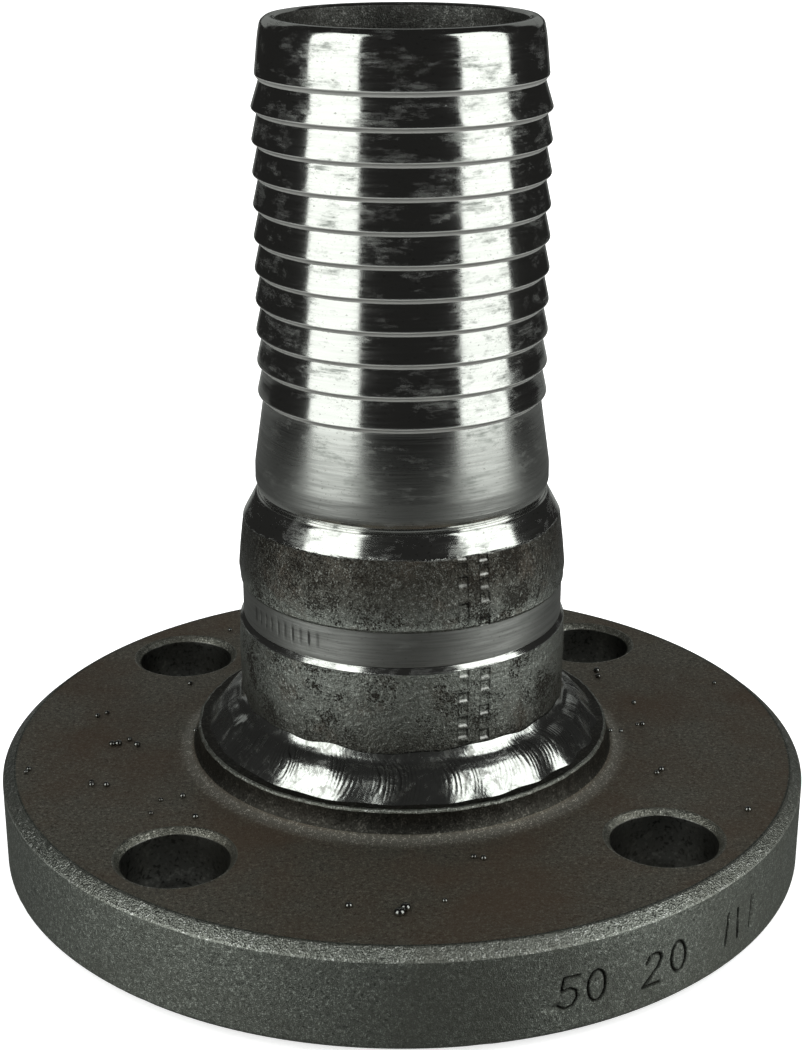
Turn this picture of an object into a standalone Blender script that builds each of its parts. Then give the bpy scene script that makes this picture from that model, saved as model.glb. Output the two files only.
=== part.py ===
"""Flanged hose shank: a barbed hose stem welded into a slip-on pipe flange.

Four separate bodies of carbon steel: the flange, the turned stem that a hose is
pushed over, the outer fillet weld and the inner bore weld that hold them together.
Units are metres.  The origin is the centre of the flange's raised face, +Z runs up
the stem, and the bolt holes straddle the X and Y axes.
"""
import math

import bmesh
import bpy
from mathutils import Vector

# Flange: 2 inch, class 150, slip-on, raised face
FLANGE_DIAMETER = 0.1524
RAISED_FACE_DIAMETER = 0.0921
RAISED_FACE_HEIGHT = 0.0016
FLANGE_TOP = 0.0201
HUB_TOP = 0.0252
HUB_RADIUS = 0.0391
HUB_FILLET = 0.0038
HUB_EDGE = 0.0006
FLANGE_BORE_RADIUS = 0.03095
RIM_CHAMFER_WIDTH = 0.0019
RIM_CHAMFER_DEPTH = 0.0016
RIM_UNDER_CHAMFER = 0.0010
BOLT_CIRCLE_DIAMETER = 0.12065
BOLT_HOLE_DIAMETER = 0.01905
BOLT_HOLE_COUNT = 4
BOLT_HOLE_CHAMFER = 0.0010
BOLT_HOLE_UNDER_CHAMFER = 0.0005

# Hose stem: mouth and barbs
STEM_TOP = 0.1564
MOUTH_RADIUS = 0.0238
MOUTH_WALL = 0.0017
MOUTH_ROUND_RADIUS = 0.02465
MOUTH_ROUND_DEPTH = 0.0020
BORE_RADIUS = 0.0217
TIP_RADIUS = 0.02542
TIP_CREST_Z = 0.1469
TIP_ROOT_RADIUS = 0.0249
BARB_COUNT = 10
BARB_PITCH = 0.005615
FIRST_BARB_Z = TIP_CREST_Z - BARB_PITCH
BARB_CREST_RADIUS = 0.02615
BARB_ROOT_RADIUS = 0.02516
BARB_CREST_LAND = 0.0003
BARB_UNDERCUT = 0.0012

# Hose stem: smooth land, ferrule groove, collar, ring groove and spigot
LAND_RADIUS = 0.0270
LAND_TOP_Z = 0.0773
LAND_BOTTOM_Z = 0.0743
SHOULDER_RADIUS = 0.0266
SHOULDER_Z = 0.0728
GROOVE_RADIUS = 0.0259
GROOVE_TOP_Z = 0.0721
GROOVE_BOTTOM_Z = 0.0715
CONE_TOP_RADIUS = 0.0271
CONE_TOP_Z = 0.0711
CONE_BOTTOM_RADIUS = 0.0291
CONE_BOTTOM_Z = 0.0675
COLLAR_SHOULDER_RADIUS = 0.0296
COLLAR_SHOULDER_Z = 0.0651
COLLAR_RADIUS = 0.03047
COLLAR_WIDEST_Z = 0.0578
COLLAR_EDGE_RADIUS = 0.0302
COLLAR_EDGE_Z = 0.0556
BAND_RADIUS = 0.0298
BAND_TOP_Z = 0.0549
RING_GROOVE_RADIUS = 0.0293
RING_GROOVE_TOP_Z = 0.0482
RING_GROOVE_BOTTOM_Z = 0.0476
BODY_RADIUS = 0.0305
BODY_TOP_Z = 0.0468
BODY_BOTTOM_Z = 0.0300
SPIGOT_RADIUS = 0.03015
SPIGOT_TOP_Z = 0.0270
SPIGOT_BORE_RADIUS = 0.02625
SPIGOT_END_Z = 0.0060
BORE_STEP_TOP_Z = 0.0720
BORE_STEP_BOTTOM_Z = 0.0620

# Welds, kept this far from the flange and the stem
WELD_GAP = 0.0003
FILLET_TOE_RADIUS = 0.0369
FILLET_TOP_Z = 0.0319
FILLET_BULGE = 0.0009
BORE_WELD_INNER_RADIUS = 0.0272
BORE_WELD_BOTTOM_Z = 0.0012

# Steps round a full turn
FLANGE_STEPS = 96
STEM_STEPS = 56
WELD_STEPS = 48
HOLE_STEPS = 32


def clear_scene():
    """Remove every object that the file opened with."""
    for item in list(bpy.data.objects):
        bpy.data.objects.remove(item, do_unlink=True)


def steel(name, colour, roughness, metallic=1.0):
    """A Principled material with one colour, roughness and metallic value."""
    material = bpy.data.materials.new(name)
    material.use_nodes = True
    shader = material.node_tree.nodes["Principled BSDF"]
    shader.inputs["Base Color"].default_value = (*colour, 1.0)
    shader.inputs["Roughness"].default_value = roughness
    shader.inputs["Metallic"].default_value = metallic
    material.diffuse_color = (*colour, 1.0)
    return material


def turned(name, outline, steps, material=None):
    """A ring turned about Z from a closed (radius, z) outline.

    The outline goes down its outer side and back up its inner side.
    """
    mesh = bpy.data.meshes.new(name)
    shape = bmesh.new()
    points = [shape.verts.new(Vector((radius, 0.0, z))) for radius, z in outline]
    for start, end in zip(points, points[1:] + points[:1]):
        shape.edges.new((start, end))
    shape.to_mesh(mesh)
    shape.free()
    item = bpy.data.objects.new(name, mesh)
    bpy.context.scene.collection.objects.link(item)
    turn = item.modifiers.new("Turn", "SCREW")
    turn.axis = "Z"
    turn.angle = 2.0 * math.pi
    turn.steps = steps
    turn.render_steps = steps
    turn.use_merge_vertices = True
    turn.merge_threshold = 0.00001
    turn.use_smooth_shade = True
    if material is not None:
        mesh.materials.append(material)
    return item


def arc(centre, radius, start_degrees, end_degrees, count):
    """Points along an arc in the (radius, z) plane, both ends included."""
    points = []
    for index in range(count + 1):
        angle = math.radians(start_degrees + (end_degrees - start_degrees) * index / count)
        points.append((centre[0] + radius * math.cos(angle), centre[1] + radius * math.sin(angle)))
    return points


def flange_outline():
    """The flange's section: hub, hub fillet, top face, rim and raised face."""
    rim = FLANGE_DIAMETER / 2.0
    raised_face = RAISED_FACE_DIAMETER / 2.0
    fillet_centre = (HUB_RADIUS + HUB_FILLET, FLANGE_TOP + HUB_FILLET)
    outline = [(FLANGE_BORE_RADIUS, HUB_TOP), (HUB_RADIUS - HUB_EDGE, HUB_TOP)]
    outline.append((HUB_RADIUS, HUB_TOP - HUB_EDGE))
    outline += arc(fillet_centre, HUB_FILLET, 180.0, 270.0, 4)
    outline.append((rim - RIM_CHAMFER_WIDTH, FLANGE_TOP))
    outline.append((rim, FLANGE_TOP - RIM_CHAMFER_DEPTH))
    outline.append((rim, RAISED_FACE_HEIGHT + RIM_UNDER_CHAMFER))
    outline.append((rim - RIM_UNDER_CHAMFER, RAISED_FACE_HEIGHT))
    outline.append((raised_face, RAISED_FACE_HEIGHT))
    outline.append((raised_face, 0.0))
    outline.append((FLANGE_BORE_RADIUS, 0.0))
    return outline


def bolt_hole_cutter(index):
    """The shape drilled for one bolt: a plain hole with both edges chamfered."""
    radius = BOLT_HOLE_DIAMETER / 2.0
    clearance = 0.002
    top_radius = radius + BOLT_HOLE_CHAMFER
    under_radius = radius + BOLT_HOLE_UNDER_CHAMFER
    outline = [(0.0, FLANGE_TOP + clearance), (top_radius, FLANGE_TOP + clearance)]
    outline.append((top_radius, FLANGE_TOP))
    outline.append((radius, FLANGE_TOP - BOLT_HOLE_CHAMFER))
    outline.append((radius, RAISED_FACE_HEIGHT + BOLT_HOLE_UNDER_CHAMFER))
    outline.append((under_radius, RAISED_FACE_HEIGHT))
    outline.append((under_radius, RAISED_FACE_HEIGHT - clearance))
    outline.append((0.0, RAISED_FACE_HEIGHT - clearance))
    cutter = solid_turned("bolt_hole_cutter_%d" % index, outline, HOLE_STEPS)
    angle = math.radians(45.0) + 2.0 * math.pi * index / BOLT_HOLE_COUNT
    circle = BOLT_CIRCLE_DIAMETER / 2.0
    cutter.location = (circle * math.cos(angle), circle * math.sin(angle), 0.0)
    cutter.hide_render = True
    cutter.display_type = "WIRE"
    return cutter


def solid_turned(name, outline, steps):
    """A solid plug turned about Z by spinning an outline that starts and ends on the axis."""
    mesh = bpy.data.meshes.new(name)
    shape = bmesh.new()
    rings = []
    for radius, z in outline:
        if radius == 0.0:
            rings.append([shape.verts.new((0.0, 0.0, z))])
            continue
        ring = []
        for step in range(steps):
            angle = 2.0 * math.pi * step / steps
            ring.append(shape.verts.new((radius * math.cos(angle), radius * math.sin(angle), z)))
        rings.append(ring)
    for upper, lower in zip(rings, rings[1:]):
        for step in range(steps):
            following = (step + 1) % steps
            if len(upper) == 1:
                shape.faces.new((upper[0], lower[step], lower[following]))
            elif len(lower) == 1:
                shape.faces.new((upper[following], upper[step], lower[0]))
            else:
                shape.faces.new((upper[following], upper[step], lower[step], lower[following]))
    shape.to_mesh(mesh)
    shape.free()
    item = bpy.data.objects.new(name, mesh)
    bpy.context.scene.collection.objects.link(item)
    return item


def make_flange(parent):
    """The slip-on flange with its four bolt holes drilled through."""
    finish = steel("flange_steel", (0.085, 0.080, 0.070), 0.55)
    flange = turned("flange", flange_outline(), FLANGE_STEPS, finish)
    flange.parent = parent
    for index in range(BOLT_HOLE_COUNT):
        cut = flange.modifiers.new("Bolt hole %d" % (index + 1), "BOOLEAN")
        cut.operation = "DIFFERENCE"
        cut.solver = "EXACT"
        cut.object = bolt_hole_cutter(index)
        cut.object.parent = parent
    return flange


def barb_outline():
    """The ten barbs below the tip: each slopes out to its crest and cuts back under it."""
    outline = []
    for index in range(BARB_COUNT):
        crest = FIRST_BARB_Z - index * BARB_PITCH
        outline.append((BARB_CREST_RADIUS, crest + BARB_CREST_LAND / 2.0))
        outline.append((BARB_CREST_RADIUS, crest - BARB_CREST_LAND / 2.0))
        outline.append((BARB_ROOT_RADIUS, crest - BARB_UNDERCUT))
    return outline


def stem_outline():
    """The stem's section, down the outside from the mouth and up the bore."""
    outline = [(MOUTH_RADIUS - MOUTH_WALL, STEM_TOP), (MOUTH_RADIUS, STEM_TOP)]
    outline.append((MOUTH_ROUND_RADIUS, STEM_TOP - MOUTH_ROUND_DEPTH))
    outline.append((TIP_RADIUS, TIP_CREST_Z + BARB_CREST_LAND / 2.0))
    outline.append((TIP_RADIUS, TIP_CREST_Z - BARB_CREST_LAND / 2.0))
    outline.append((TIP_ROOT_RADIUS, TIP_CREST_Z - BARB_UNDERCUT))
    outline += barb_outline()
    outline += [(LAND_RADIUS, LAND_TOP_Z), (LAND_RADIUS, LAND_BOTTOM_Z)]
    outline += [(SHOULDER_RADIUS, SHOULDER_Z), (GROOVE_RADIUS, GROOVE_TOP_Z)]
    outline += [(GROOVE_RADIUS, GROOVE_BOTTOM_Z), (CONE_TOP_RADIUS, CONE_TOP_Z)]
    outline += [(CONE_BOTTOM_RADIUS, CONE_BOTTOM_Z)]
    outline += [(COLLAR_SHOULDER_RADIUS, COLLAR_SHOULDER_Z), (COLLAR_RADIUS, COLLAR_WIDEST_Z)]
    outline += [(COLLAR_EDGE_RADIUS, COLLAR_EDGE_Z), (BAND_RADIUS, BAND_TOP_Z)]
    outline += [(BAND_RADIUS, RING_GROOVE_TOP_Z), (RING_GROOVE_RADIUS, RING_GROOVE_TOP_Z)]
    outline += [(RING_GROOVE_RADIUS, RING_GROOVE_BOTTOM_Z), (BODY_RADIUS, BODY_TOP_Z)]
    outline += [(BODY_RADIUS, BODY_BOTTOM_Z), (SPIGOT_RADIUS, SPIGOT_TOP_Z)]
    outline += [(SPIGOT_RADIUS, SPIGOT_END_Z), (SPIGOT_BORE_RADIUS, SPIGOT_END_Z)]
    outline += [(SPIGOT_BORE_RADIUS, BORE_STEP_BOTTOM_Z), (BORE_RADIUS, BORE_STEP_TOP_Z)]
    outline.append((BORE_RADIUS, STEM_TOP - (MOUTH_RADIUS - MOUTH_WALL - BORE_RADIUS)))
    return outline


def make_stem(parent):
    """The barbed stem, one turned piece with a bore right through."""
    finish = steel("turned_steel", (0.36, 0.37, 0.35), 0.28)
    stem = turned("hose_stem", stem_outline(), STEM_STEPS, finish)
    stem.parent = parent
    return stem


def make_fillet_weld(parent):
    """The outer weld bead between the hub's top face and the stem."""
    finish = steel("weld_metal", (0.42, 0.43, 0.41), 0.22)
    inner = BODY_RADIUS + WELD_GAP
    base = HUB_TOP + WELD_GAP
    run = FILLET_TOE_RADIUS - inner
    rise = FILLET_TOP_Z - base
    length = math.hypot(run, rise)
    outline = []
    face_points = 5
    for index in range(face_points + 1):
        along = index / face_points
        bulge = FILLET_BULGE * math.sin(math.pi * along)
        radius = inner + run * along + bulge * rise / length
        z = FILLET_TOP_Z - rise * along + bulge * run / length
        outline.append((radius, z))
    outline.append((inner, base))
    weld = turned("fillet_weld", outline, WELD_STEPS, finish)
    weld.parent = parent
    return weld


def make_bore_weld(parent):
    """The inner weld bead that seals the stem's end inside the flange bore."""
    finish = steel("bore_weld_metal", (0.34, 0.34, 0.33), 0.32)
    outer = FLANGE_BORE_RADIUS - WELD_GAP
    top = SPIGOT_END_Z - WELD_GAP
    outline = [(BORE_WELD_INNER_RADIUS, top), (outer, top), (outer, BORE_WELD_BOTTOM_Z)]
    face_points = 3
    for index in range(1, face_points):
        along = index / face_points
        bulge = FILLET_BULGE / 2.0 * math.sin(math.pi * along)
        radius = outer + (BORE_WELD_INNER_RADIUS - outer) * along - bulge
        outline.append((radius, BORE_WELD_BOTTOM_Z + (top - BORE_WELD_BOTTOM_Z) * along - bulge))
    weld = turned("bore_weld", outline, WELD_STEPS, finish)
    weld.parent = parent
    return weld


clear_scene()
frame = bpy.data.objects.new("shank_frame", None)
bpy.context.scene.collection.objects.link(frame)
make_flange(frame)
make_stem(frame)
make_fillet_weld(frame)
make_bore_weld(frame)
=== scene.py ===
import math

import bmesh
import bpy
import numpy as np
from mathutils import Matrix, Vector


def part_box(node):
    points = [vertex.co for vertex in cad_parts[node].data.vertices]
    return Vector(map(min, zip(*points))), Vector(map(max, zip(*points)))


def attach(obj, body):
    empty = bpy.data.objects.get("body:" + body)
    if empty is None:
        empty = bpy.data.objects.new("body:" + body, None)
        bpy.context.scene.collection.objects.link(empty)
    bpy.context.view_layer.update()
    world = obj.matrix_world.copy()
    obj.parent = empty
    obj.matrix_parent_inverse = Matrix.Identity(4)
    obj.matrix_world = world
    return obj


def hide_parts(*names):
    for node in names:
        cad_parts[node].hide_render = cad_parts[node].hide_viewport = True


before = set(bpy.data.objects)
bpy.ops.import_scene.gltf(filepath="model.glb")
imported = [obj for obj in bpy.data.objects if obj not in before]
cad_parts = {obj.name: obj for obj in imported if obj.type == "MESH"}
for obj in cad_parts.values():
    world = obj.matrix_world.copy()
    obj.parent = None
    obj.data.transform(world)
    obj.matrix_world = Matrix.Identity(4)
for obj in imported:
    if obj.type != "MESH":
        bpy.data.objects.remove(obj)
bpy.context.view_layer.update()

# ------------------------------------------------------------
# The flange.  A forged carbon steel ring, turned on its rim, faces and bore and drilled
# for four bolts, with a low hub that the stem's weld sits on.  Its corners are broken
# with a file and its size is punched into the rim.

# Lengths are in millimetres, and times MM where they go into a mesh.  Round
# things are given by their radius.
MM = 0.001
_, flange_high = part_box("flange")
RIM = flange_high.x / MM
HUB_TOP = flange_high.z / MM
TOP_FACE = HUB_TOP - 5.1
FACE_STEP = 1.6
RAISED_FACE = 46.05
SERRATION_PITCH, SERRATION_DEPTH = 0.42, 0.05
HUB = 39.1
HUB_SKIRT = 5.0
FLANGE_BORE = 30.95
BOLT_CIRCLE = 60.325
BOLT_HOLE = 9.525
HOLE_SPREAD = (45.0, 135.0, 225.0, 315.0)
QUARTER = 90.0
# How far in from the rim, and out from a hole, the flat top and the flat underside end
RIM_TO_TOP, RIM_TO_FOOT = 2.5, 1.6
HOLE_TO_TOP, HOLE_TO_FOOT = 1.3, 0.5
FACE_TO_FOOT = 48.0
# Degrees between columns, and closer together where the rim is punched
COLUMN_STEP = 1.65
PUNCHED_ZONE = (283.5, 318.0, 0.165)
DENT_DEPTH = 0.3
HUB_LUMP = 0.10
# Which finish a row of faces takes
TOP_SKIN, RIM_SKIN, FILED, MACHINED, HUB_SIDE, HOLE_CORNER = range(6)


def crowded_angles(start, end, step, zones):
    """Angles from start up to end, in degrees, step apart, and closer inside each zone.

    A zone is (from, to, step).  The angles are read off the running total of the
    density of columns, so their number comes out whole and they never jump.
    """
    fine = np.linspace(start, end, 2001)
    density = np.full(fine.shape, 1.0 / step)
    for zone_start, zone_end, zone_step in zones:
        density[(fine >= zone_start) & (fine <= zone_end)] = 1.0 / zone_step
    between = (density[1:] + density[:-1]) / 2.0 * np.diff(fine)
    total = np.concatenate([[0.0], np.cumsum(between)])
    count = int(round(total[-1]))
    return np.interp(np.arange(count) * total[-1] / count, total, fine)


def outline(corners, closed=False, curve_points=4):
    """A section from its corners, each (radius, height, rounding, step) in millimetres.

    A corner becomes the curve (1-t)^2 a + 2t(1-t) p + t^2 b between the two points
    that lie a rounding away from it, and the straight run to the next corner is cut
    into lengths of at most step.
    """
    spots = np.array([corner[:2] for corner in corners], float)
    last = len(corners) - 1
    curves = []
    for index, (_, _, rounding, _) in enumerate(corners):
        spot = spots[index]
        if not rounding or (not closed and index in (0, last)):
            curves.append(spot[None])
            continue
        before = spots[index - 1] - spot
        after = spots[(index + 1) % len(corners)] - spot
        start = spot + before / np.linalg.norm(before) * rounding
        end = spot + after / np.linalg.norm(after) * rounding
        t = np.linspace(0.0, 1.0, curve_points)[:, None]
        curves.append((1.0 - t) ** 2 * start + 2.0 * t * (1.0 - t) * spot + t ** 2 * end)
    points = []
    for index, curve in enumerate(curves):
        points.append(curve)
        step = corners[index][3]
        if step and (closed or index < last):
            start, end = curve[-1], curves[(index + 1) % len(curves)][0]
            cuts = int(np.ceil(np.linalg.norm(end - start) / step))
            share = (np.arange(1, cuts) / cuts)[:, None]
            points.append(start + (end - start) * share)
    return np.concatenate(points)


def around(radius, height, degrees):
    """Points of a turned surface, in metres, from radii and heights in millimetres."""
    angle = np.radians(degrees)
    radius, height, angle = np.broadcast_arrays(radius, height, angle)
    return np.stack([radius * np.cos(angle), radius * np.sin(angle), height], -1) * MM


def add_to_scene(name, data):
    """A new object in the scene for a mesh, a light or a camera."""
    made = bpy.data.objects.new(name, data)
    bpy.context.scene.collection.objects.link(made)
    return made


def solid(name, grids, sharp=28.0):
    """One mesh from grids of points, each (points, finish), a finish number for each row.

    Columns wrap round, and rows do too when there are as many finishes as rows.
    Neighbouring points of a grid make a quad that faces outwards when rows run down an
    outer side, and points that meet are joined.
    """
    corners, quads, finishes, first = [], [], [], 0
    for points, finish in grids:
        rows, columns = points.shape[:2]
        row = np.arange(len(finish))[:, None]
        finishes.append(np.repeat(finish, columns))
        below = (row + 1) % rows
        column = np.arange(columns)[None, :]
        beside = (column + 1) % columns
        ring = [row * columns + column, below * columns + column]
        ring += [below * columns + beside, row * columns + beside]
        quads.append(np.stack(ring, -1).reshape(-1, 4) + first)
        corners.append(points.reshape(-1, 3))
        first += rows * columns
    mesh = bpy.data.meshes.new(name)
    mesh.from_pydata(np.concatenate(corners).tolist(), [], np.concatenate(quads).tolist())
    mesh.polygons.foreach_set("material_index", np.concatenate(finishes).astype(np.int32))
    if len(grids) > 1:
        joined = bmesh.new()
        joined.from_mesh(mesh)
        bmesh.ops.remove_doubles(joined, verts=joined.verts, dist=2e-6)
        joined.to_mesh(mesh)
        joined.free()
    mesh.shade_smooth()
    mesh.set_sharp_from_angle(angle=math.radians(sharp))
    return add_to_scene(name, mesh)


def carried_round(section, angles):
    """The radius and the height of every point of a section at every angle."""
    return section[:, :1] + 0.0 * angles, section[:, 1:] + 0.0 * angles


def clamp(value):
    """The value held between 0 and 1."""
    return np.clip(value, 0.0, 1.0)


def add_layer(piece, name, values):
    """Stores one number for each point of a piece, for its finish to read."""
    layer = piece.data.attributes.new(name, "FLOAT", "POINT")
    layer.data.foreach_set("value", np.ascontiguousarray(values, np.float32).ravel())


def waves(angle, height, seed, count, turns, per_mm):
    """An even spread of lumps between about -1 and 1 over a turned surface.

    It is a sum of cosines of whole turns of the angle and of the height, with
    seeded phases, so it closes round the axis without a seam.
    """
    dice = np.random.default_rng(seed)
    total = np.zeros(np.broadcast(angle, height).shape)
    for _ in range(count):
        around_count = dice.integers(1, turns + 1)
        along = dice.uniform(-per_mm, per_mm)
        phase = dice.uniform(0.0, 2.0 * math.pi)
        total += np.cos(np.radians(angle) * around_count + height * along + phase)
    return total / math.sqrt(count)


def stroke_depth(across, up, stroke, width):
    """How deep a punched mark goes, 0 to 1: a bell curve of the distance to its stroke."""
    nearest = np.full(across.shape, 99.0)
    for (x0, y0), (x1, y1) in zip(stroke, stroke[1:]):
        run = (x1 - x0) ** 2 + (y1 - y0) ** 2
        t = clamp(((across - x0) * (x1 - x0) + (up - y0) * (y1 - y0)) / run)
        away = np.hypot(across - x0 - t * (x1 - x0), up - y0 - t * (y1 - y0))
        nearest = np.minimum(nearest, away)
    return np.exp(-(nearest / width) ** 4)


# Each numeral is one stroke in a box 0.6 wide and 1 high
NUMERALS = {
    "0": [(0.3 + 0.28 * math.sin(a), 0.5 + 0.5 * math.cos(a)) for a in np.linspace(0.0, 2.0 * math.pi, 17)],
    "2": [(0.03, 0.76), (0.12, 0.95), (0.3, 1.0), (0.5, 0.93), (0.57, 0.75), (0.47, 0.52), (0.0, 0.0),
          (0.6, 0.0)],
    "5": [(0.56, 1.0), (0.1, 1.0), (0.06, 0.58), (0.3, 0.64), (0.53, 0.53), (0.58, 0.3), (0.47, 0.07),
          (0.22, 0.0), (0.02, 0.1)],
    "I": [(0.3, 0.0), (0.3, 1.0)],
}
# Each punched mark: its numeral, its left edge in degrees round the rim, its lean
RIM_STAMPS = [("5", 284.6, 0.10), ("0", 288.6, 0.02), ("2", 296.8, 0.12), ("0", 301.4, -0.04),
              ("I", 310.6, 0.1), ("I", 313.4, -0.05), ("I", 316.4, 0.06)]
STAMP_BASE = 6.6
STAMP_HEIGHT = 5.8
STAMP_DEPTH = 0.45
STAMP_WIDTH = 0.24


def rim_stamp_depth(degrees, height):
    """Depth of the punched size marks over the rim, in millimetres.

    A place on the rim becomes millimetres across and up from a mark's lower left
    corner, leaned over, and the deepest of all the marks counts there.
    """
    depth = np.zeros(np.broadcast(degrees, height).shape)
    for number, (numeral, left, lean) in enumerate(RIM_STAMPS):
        across = np.radians(degrees - left) * RIM + 0.0 * height
        up = height - STAMP_BASE - 0.25 * math.sin(2.4 * number) + 0.0 * across
        across = across - lean * up
        stroke = [(x * STAMP_HEIGHT, y * STAMP_HEIGHT) for x, y in NUMERALS[numeral]]
        depth = np.maximum(depth, stroke_depth(across, up, stroke, STAMP_WIDTH))
    return depth * STAMP_DEPTH


def hole_quarter(centre, inner, outer, hole, quarter, angles, rings):
    """The flat round one bolt hole, out to the edges of its quarter of the flange.

    Rays run from the hole's edge to points along the quarter's border: its outer
    arc, its two straight sides and its inner arc.  Rows are shares of the way out.
    """
    start, end = quarter, quarter + QUARTER
    arc_angles = angles[(angles >= start) & (angles < end)]
    side = np.linspace(0.0, 1.0, 15)[:-1]
    outgoing = np.full(side.shape, start)
    returning = np.full(side.shape, end)
    arc_back = np.concatenate([[end], arc_angles[:0:-1]])
    border_angle = np.concatenate([arc_angles, returning, arc_back, outgoing])
    border_radius = np.concatenate([
        np.full(arc_angles.shape, outer), outer + (inner - outer) * side,
        np.full(arc_back.shape, inner), inner + (outer - inner) * side])
    border_x = border_radius * np.cos(np.radians(border_angle))
    border_y = border_radius * np.sin(np.radians(border_angle))
    toward = np.arctan2(border_y - centre[1], border_x - centre[0])
    hole_x = centre[0] + hole * np.cos(toward)
    hole_y = centre[1] + hole * np.sin(toward)
    share = (np.linspace(0.0, 1.0, rings) ** 1.4)[:, None]
    x = hole_x + (border_x - hole_x) * share
    y = hole_y + (border_y - hole_y) * share
    return x, y, toward


def rim_ring(angles):
    """The rim carried round the axis, less its punched marks and the dents in its corner."""
    top, foot = TOP_FACE, FACE_STEP
    section = outline([
        (RIM - RIM_TO_TOP, top, 0, 0), (RIM - 1.9, top, 0.25, 0), (RIM, top - 1.6, 0.3, 1.2),
        (RIM, 13.4, 0, 0.2), (RIM, 5.8, 0, 1.2), (RIM, foot + 1.0, 0.2, 0),
        (RIM - 1.0, foot, 0.2, 0), (RIM - RIM_TO_FOOT, foot, 0, 0)])
    radius, height = carried_round(section, angles)
    on_rim = radius > RIM - 0.05
    radius = radius - np.where(on_rim, rim_stamp_depth(angles, height), 0.0)
    dents = clamp(waves(angles, height, 5, 14, 60, 1.5) - 1.55)
    radius = radius - DENT_DEPTH * dents * (radius > RIM - 2.2)
    corner = (section[:-1, 1] > top - 1.75) & (section[:-1, 0] > RIM - 2.2)
    return around(radius, height, angles), np.where(corner, FILED, RIM_SKIN)


def hub_and_bore_ring(angles):
    """The raised face, the bore and the hub carried round the axis, the hub a little lumpy.

    The raised face is cut with a fine spiral groove, drawn as ridges of equal pitch.
    """
    top, foot = TOP_FACE, FACE_STEP
    ridges = enumerate(np.arange(RAISED_FACE - 0.65, 32.2, -SERRATION_PITCH))
    section = outline(
        [(FACE_TO_FOOT, foot, 0, 0), (RAISED_FACE, foot, 0.15, 0), (RAISED_FACE, 0.0, 0.15, 0)]
        + [(reach, SERRATION_DEPTH * (number % 2), 0, 0) for number, reach in ridges]
        + [(FLANGE_BORE, 0.0, 0.2, 2.0), (FLANGE_BORE, HUB_TOP, 0.3, 1.5), (HUB, HUB_TOP, 0.55, 0.8),
           (HUB, top, 4.0, 0), (HUB + HUB_SKIRT, top, 0, 0)], curve_points=7)
    radius, height = carried_round(section, angles)
    on_hub = clamp((height - top - 0.5) / 1.5) * clamp(radius - 37.0)
    radius = radius + on_hub * HUB_LUMP * waves(angles, height, 8, 18, 90, 0.8)
    reach, level = section[:-1, 0], section[:-1, 1]
    edge = (np.abs(reach - HUB) < 0.56) & (level > HUB_TOP - 0.50)
    skin = (reach > FLANGE_BORE + 0.3) & (level > top - 1.0)
    finish = np.where(skin, TOP_SKIN, MACHINED)
    finish = np.where(skin & (reach < HUB + 0.9) & (level > top + 1.2), HUB_SIDE, finish)
    return around(radius, height, angles), np.where(edge, FILED, finish)


def hole_and_flats(middle, quarter, angles):
    """One bolt hole's wall, with the flat top above it and the flat underside below it.

    The wall is a ring of points round the hole, each radius carried down its height,
    with a small step where the drills from the two sides met.
    """
    top, foot = TOP_FACE, FACE_STEP
    wall = outline([
        (BOLT_HOLE + HOLE_TO_TOP, top, 0, 0), (BOLT_HOLE + 1.0, top, 0.15, 0),
        (BOLT_HOLE, top - 1.0, 0.2, 1.5), (BOLT_HOLE, 9.2, 0.0, 0), (BOLT_HOLE - 0.05, 9.0, 0.0, 1.5),
        (BOLT_HOLE - 0.05, foot + 0.5, 0.15, 0), (BOLT_HOLE + HOLE_TO_FOOT, foot, 0, 0)])
    reach, level = wall[:, :1], wall[:, 1:]
    way = math.radians(middle)
    centre = BOLT_CIRCLE * np.array([math.cos(way), math.sin(way)])
    x, y, toward = hole_quarter(
        centre, HUB + HUB_SKIRT, RIM - RIM_TO_TOP, BOLT_HOLE + HOLE_TO_TOP, quarter, angles, 9)
    flat_top = np.stack([x, y, np.full(x.shape, top)], -1) * MM, np.full(len(x) - 1, TOP_SKIN)
    x, y = centre[0] + reach * np.cos(toward), centre[1] + reach * np.sin(toward)
    corner = (level[:-1, 0] > top - 0.9) | (level[:-1, 0] < foot + 0.4)
    finish = np.where(corner, HOLE_CORNER, MACHINED)[::-1]
    hole_wall = np.stack([x, y, level + 0.0 * x], -1)[::-1] * MM, finish
    lowest_x, lowest_y = x[-1], y[-1]
    x, y, _ = hole_quarter(
        centre, FACE_TO_FOOT, RIM - RIM_TO_FOOT, BOLT_HOLE + HOLE_TO_FOOT, quarter, angles, 6)
    x[0], y[0] = lowest_x, lowest_y
    underside = np.stack([x, y, np.full(x.shape, foot)], -1)[::-1] * MM, np.full(len(x) - 1, RIM_SKIN)
    return [flat_top, hole_wall, underside]


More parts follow.
